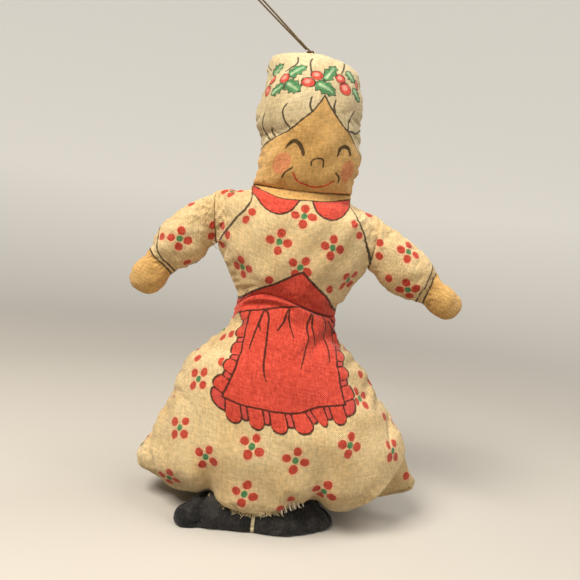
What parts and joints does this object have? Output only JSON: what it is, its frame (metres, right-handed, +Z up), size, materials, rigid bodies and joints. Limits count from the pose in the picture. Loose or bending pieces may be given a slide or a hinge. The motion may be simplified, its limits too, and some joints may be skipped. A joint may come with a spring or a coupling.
{
  "type": "cloth doll ornament",
  "caption": "Stuffed printed-cotton doll in a flared dress with folding arms, a soft waist and neck, flat-standing shoes and a thread loop for hanging.",
  "frame": {"origin": "on the surface the doll stands on, under the middle of its width and depth", "axes": "+Z up, -Y out of the doll's front, +X to its own left hand"},
  "size_m": [0.1076, 0.0458, 0.1665],
  "materials": {
    "printed_cotton": "plain-weave cotton with a printed dress, apron and hands",
    "face_print_cotton": "plain-weave cotton with a printed face and hair",
    "black_shoe_cloth": "black cotton with a slight sheen",
    "fibre_stuffing": "packed fibre",
    "white_thread": "sewing cotton",
    "hanging_thread": "dark sewing thread"
  },
  "bodies": {
    "skirt": {"shoe_front_panel": "black_shoe_cloth", "shoe_back_panel": "black_shoe_cloth", "shoe_stuffing": "fibre_stuffing", "skirt_front_panel": "printed_cotton", "skirt_back_panel": "printed_cotton", "skirt_stuffing": "fibre_stuffing", "waist_wad": "fibre_stuffing", "hem_whip_stitches": "white_thread"},
    "bodice": {"bodice_front_panel": "printed_cotton", "bodice_back_panel": "printed_cotton", "bodice_stuffing": "fibre_stuffing", "neck_wad": "fibre_stuffing", "left_shoulder_stitches": "white_thread", "right_shoulder_stitches": "white_thread"},
    "head": {"head_front_panel": "face_print_cotton", "head_back_panel": "face_print_cotton", "head_stuffing": "fibre_stuffing", "hanging_knot": "hanging_thread", "hanging_thread": "hanging_thread"},
    "left_arm": {"left_arm_front_panel": "printed_cotton", "left_arm_back_panel": "printed_cotton", "left_arm_stuffing": "fibre_stuffing"},
    "right_arm": {"right_arm_front_panel": "printed_cotton", "right_arm_back_panel": "printed_cotton", "right_arm_stuffing": "fibre_stuffing"}
  },
  "joints": [
    {"name": "waist_bend", "type": "hinge", "parent": "skirt", "child": "bodice", "pos_m": [-0.00246, 0, 0.0626], "axis": [1, 0, 0], "range_deg": [-12, 15], "stiffness_Nm_per_rad": 0.08},
    {"name": "neck_nod", "type": "hinge", "parent": "bodice", "child": "head", "pos_m": [-0.00246, 0, 0.1035], "axis": [1, 0, 0], "range_deg": [-18, 20], "stiffness_Nm_per_rad": 0.02},
    {"name": "left_shoulder_fold", "type": "hinge", "parent": "bodice", "child": "left_arm", "pos_m": [0.02314, 0, 0.09023], "axis": [-0.0995, 0, -0.995], "range_deg": [-45, 55], "stiffness_Nm_per_rad": 0.002},
    {"name": "right_shoulder_fold", "type": "hinge", "parent": "bodice", "child": "right_arm", "pos_m": [-0.02806, 0, 0.09023], "axis": [-0.0995, 0, 0.995], "range_deg": [-45, 55], "stiffness_Nm_per_rad": 0.002}
  ]
}
